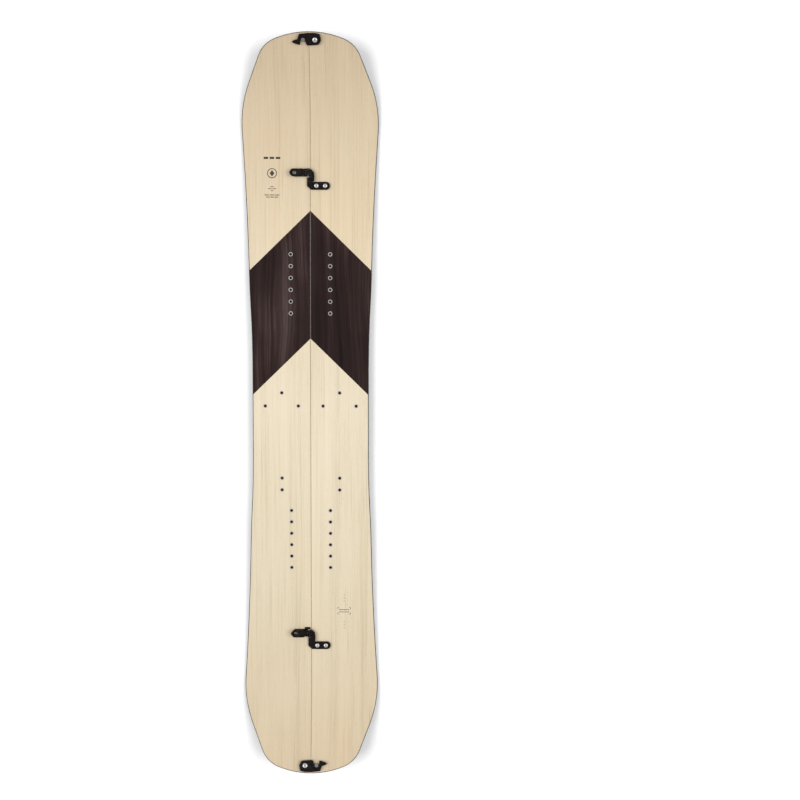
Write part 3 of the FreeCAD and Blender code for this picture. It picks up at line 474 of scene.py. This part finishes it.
def add_thread(shape, place):
    """A single-start thread ridge winding down a bore."""
    last = None
    for step in range(ROUND_STEPS * THREAD_TURNS + 1):
        angle = math.tau * step / ROUND_STEPS
        height = -THREAD_START - THREAD_PITCH * step / ROUND_STEPS
        section = []
        for radius, rise in THREAD_SECTION:
            point = ring_point(radius, angle, height + rise * THREAD_PITCH)
            section.append(shape.verts.new(place @ point))
        if last:
            for i in range(len(THREAD_SECTION) - 1):
                shape.faces.new((last[i], section[i], section[i + 1], last[i + 1]))
        last = section


def add_bore_floor(shape, place):
    """A shallow drill cone closing the bottom of a bore."""
    angles = [math.tau * i / ROUND_STEPS for i in range(ROUND_STEPS)]
    rim = [shape.verts.new(place @ ring_point(BORE_RADIUS, angle, -BORE_DEPTH)) for angle in angles]
    tip = shape.verts.new(place @ Vector((0, 0, -BORE_DEPTH - DRILL_CONE)))
    for i in range(ROUND_STEPS):
        shape.faces.new((rim[i], rim[(i + 1) % ROUND_STEPS], tip))


def mesh_from(name, shape, smooth=True):
    bmesh.ops.recalc_face_normals(shape, faces=shape.faces)
    mesh = bpy.data.meshes.new(name)
    shape.to_mesh(mesh)
    shape.free()
    for polygon in mesh.polygons:
        polygon.use_smooth = smooth
    return mesh


for side in ("left", "right"):
    places = [place for group in OPEN_INSERTS for place in solids(side + "_" + group)]
    threads, floors = bmesh.new(), bmesh.new()
    for place in places:
        add_thread(threads, place)
        add_bore_floor(floors, place)
    body = BODY_OF[side + "_binding_inserts"]
    new_piece(side + "_insert_threads", mesh_from("threads", threads, False), body, "bore")
    new_piece(side + "_insert_floors", mesh_from("floors", floors), body, "bore")


# ---- Generic printed marks on the deck --------------------------------------------------------------------

PRINT_LIFT = 0.04 * MM
ABOVE_DECK = 0.2            # height that the surface is looked for from
DOWN = Vector((0, 0, -1))


def deck_surface(node):
    shape = bmesh.new()
    shape.from_mesh(NODES[node].data)
    tree = BVHTree.FromBMesh(shape)
    shape.free()
    return tree


class Print:
    """Flat ink shapes laid over one veneer."""

    def __init__(self, node):
        self.shape = bmesh.new()
        self.deck = deck_surface(node)

    def corner(self, x, y):
        hit = self.deck.ray_cast(Vector((x, y, ABOVE_DECK)), DOWN)[0]
        return self.shape.verts.new(hit + Vector((0, 0, PRINT_LIFT)))

    def area(self, points):
        self.shape.faces.new([self.corner(x, y) for x, y in points])

    def bar(self, x, y, width, height):
        low_x, high_x = x - width / 2, x + width / 2
        low_y, high_y = y - height / 2, y + height / 2
        self.area([(low_x, low_y), (high_x, low_y), (high_x, high_y), (low_x, high_y)])

    def ring(self, x, y, outer, inner, steps=48):
        for i in range(steps):
            first, second = math.tau * i / steps, math.tau * (i + 1) / steps
            corners = ((outer, first), (outer, second), (inner, second), (inner, first))
            self.area([(x + radius * math.cos(angle), y + radius * math.sin(angle))
                       for radius, angle in corners])

    def make(self, name, body):
        return new_piece(name, mesh_from(name + "_form", self.shape, False), body, "print")


def left_marks():
    """A ring with a plain diamond in it, a broken bar above it and rows of dashes below."""
    marks = Print("left_ash_veneer")
    centre_x, centre_y = -0.082, 0.508
    marks.ring(centre_x, centre_y, 10.6 * MM, 8.9 * MM)
    half_x, half_y = 5.0 * MM, 7.0 * MM
    marks.area([(centre_x, centre_y - half_y), (centre_x + half_x, centre_y), (centre_x, centre_y + half_y),
                (centre_x - half_x, centre_y)])
    for step in (-1, 0, 1):
        marks.bar(centre_x + step * 13 * MM, 0.5405, 9.6 * MM, 4.6 * MM)
    gap = 1.6
    rows = ((0.4795, 1, 7, 1.4), (0.4752, 2, 7.6, 1.4), (0.4710, 1, 5, 1.4), (0.4618, 3, 9.5, 1.7),
            (0.4573, 3, 7.5, 1.7))
    for y, count, width, height in rows:
        pitch = width + gap
        for index in range(count):
            marks.bar(centre_x + (index - (count - 1) / 2) * pitch * MM, y, width * MM, height * MM)
    marks.make("left_deck_print", "left_ski")


def right_marks():
    """Four corner brackets round two rows of dashes, with short ticks in line above and below."""
    marks = Print("right_ash_veneer")
    centre_x, centre_y = 0.0722, -0.4464
    half_wide, half_high, arm, line = 14 * MM, 7.5 * MM, 3.2 * MM, 1.0 * MM
    for across in (-1, 1):
        for along in (-1, 1):
            x, y = centre_x + across * half_wide, centre_y + along * half_high
            marks.bar(x - across * arm / 2, y, arm, line)
            marks.bar(x, y - along * (arm + line) / 2, line, arm)
    for along in (-2.6, 2.6):
        for index in range(5):
            marks.bar(centre_x + (index - 2) * 4.6 * MM, centre_y + along * MM, 3.6 * MM, 1.5 * MM)
    for step in (22, 29, 36, -24, -31, -38):
        marks.bar(centre_x, centre_y + step * MM, 0.9 * MM, 3.0 * MM)
    marks.make("right_deck_print", "right_ski")


left_marks()
right_marks()


# ---- Scraped lacquer lips along the seam ------------------------------------------------------------------

LIP_INNER = 0.12 * MM
LIP_OUTER = 0.85 * MM
LIP_STEP = 6 * MM
LIP_END = 0.7685            # stops short of the end hooks


def seam_lip(side, sign):
    """A narrow strip along one ski's seam edge, following the deck."""
    shape = bmesh.new()
    veneers = [deck_surface(side + "_" + wood) for wood in ("ash_veneer", "walnut_veneer")]
    steps = int(2 * LIP_END / LIP_STEP)
    last = None
    for step in range(steps + 1):
        y = -LIP_END + 2 * LIP_END * step / steps
        above = Vector((sign * LIP_OUTER, y, ABOVE_DECK))
        hits = [tree.ray_cast(above, DOWN)[0] for tree in veneers]
        top = max(hit.z for hit in hits if hit) + PRINT_LIFT
        pair = [shape.verts.new((sign * x, y, top)) for x in (LIP_INNER, LIP_OUTER)]
        if last:
            shape.faces.new((last[0], last[1], pair[1], pair[0]))
        last = pair
    mesh = mesh_from(side + "_seam_lip_form", shape)
    new_piece(side + "_seam_lip", mesh, side + "_ski", "seam_lip")


seam_lip("left", -1)
seam_lip("right", 1)


# ---- Stage, light and camera ------------------------------------------------------------------------------

FLOOR_REACH = 14.0
SKY_STOPS = ((0.12, 1.0), (0.42, 0.46), (1.0, 0.27))       # upward part of the direction, and its grey
LIGHTS = (("left_light", (-2.5, 0.1, 2.7), 2.04), ("right_light", (2.7, 0.1, 2.9), 1.72))
LIGHT_SPREAD = 42           # degrees
CAMERA_LENS = 72.62
CAMERA_DISTANCE = 3.5
CAMERA_TILT = 6.1           # degrees off upright, towards the nose
CAMERA_ROLL = 0.19          # degrees about its own axis
CAMERA_AIM = (0.1936, 0.0214, 0.015)

def plain_object(name, mesh):
    thing = bpy.data.objects.new(name, mesh)
    bpy.context.scene.collection.objects.link(thing)
    return thing


def wide_light(name, place, strength):
    """A distant broad soft light shining from a direction towards the board."""
    lamp = bpy.data.lights.new(name, "SUN")
    lamp.energy = strength
    lamp.angle = math.radians(LIGHT_SPREAD)
    holder = plain_object(name, lamp)
    holder.location = place
    holder.rotation_euler = (-Vector(place)).to_track_quat("-Z", "Y").to_euler()


def build_stage():
    """A pale paper floor, a surround that is palest at the horizon, and a broad soft light on each side."""
    mesh = bpy.data.meshes.new("floor")
    corners = [Vector((x * FLOOR_REACH, y * FLOOR_REACH, 0)) for x, y in ((-1, -1), (1, -1), (1, 1), (-1, 1))]
    mesh.from_pydata(corners, [], [(0, 1, 2, 3)])
    floor = plain_object("studio_floor", mesh)
    paper = Shader("studio_paper")
    mottle = paper.noise((3, 3, 3), 2.0)
    shade = paper.ramp(mottle, [(0.3, (0.93, 0.93, 0.93)), (0.7, (0.95, 0.95, 0.95))])
    floor.data.materials.append(paper.finish(Base_Color=shade, Roughness=0.9, Specular_IOR_Level=0.1))

    world = bpy.data.worlds.new("studio_air")
    world.use_nodes = True
    nodes, links = world.node_tree.nodes, world.node_tree.links
    split = nodes.new("ShaderNodeSeparateXYZ")
    links.new(nodes.new("ShaderNodeTexCoord").outputs["Generated"], split.inputs[0])
    sky = nodes.new("ShaderNodeValToRGB")
    links.new(split.outputs["Z"], sky.inputs["Fac"])
    sky.color_ramp.elements.new(0.5)
    for element, (position, shade) in zip(sky.color_ramp.elements, SKY_STOPS):
        element.position = position
        element.color = (shade, shade, shade, 1.0)
    links.new(sky.outputs["Color"], nodes["Background"].inputs["Color"])
    bpy.context.scene.world = world
    for name, place, strength in LIGHTS:
        wide_light(name, place, strength)


def build_camera():
    """Nearly straight down on the deck from far off."""
    lens = bpy.data.cameras.new("camera")
    lens.lens = CAMERA_LENS
    lens.sensor_width = 36.0
    lens.clip_end = 60.0
    camera = plain_object("camera", lens)
    tilt = math.radians(CAMERA_TILT)
    roll = math.radians(CAMERA_ROLL)
    back = Vector((0, math.sin(tilt), math.cos(tilt)))
    rise = Vector((0, math.cos(tilt), -math.sin(tilt)))
    right = rise.cross(back)
    turned_right = right * math.cos(roll) + rise * math.sin(roll)
    turned_rise = rise * math.cos(roll) - right * math.sin(roll)
    turn = Matrix((turned_right, turned_rise, back)).transposed()
    place = Vector(CAMERA_AIM) + back * CAMERA_DISTANCE
    camera.matrix_world = Matrix.Translation(place) @ turn.to_4x4()
    bpy.context.scene.camera = camera


build_stage()
build_camera()
bpy.context.scene.view_settings.view_transform = "Standard"
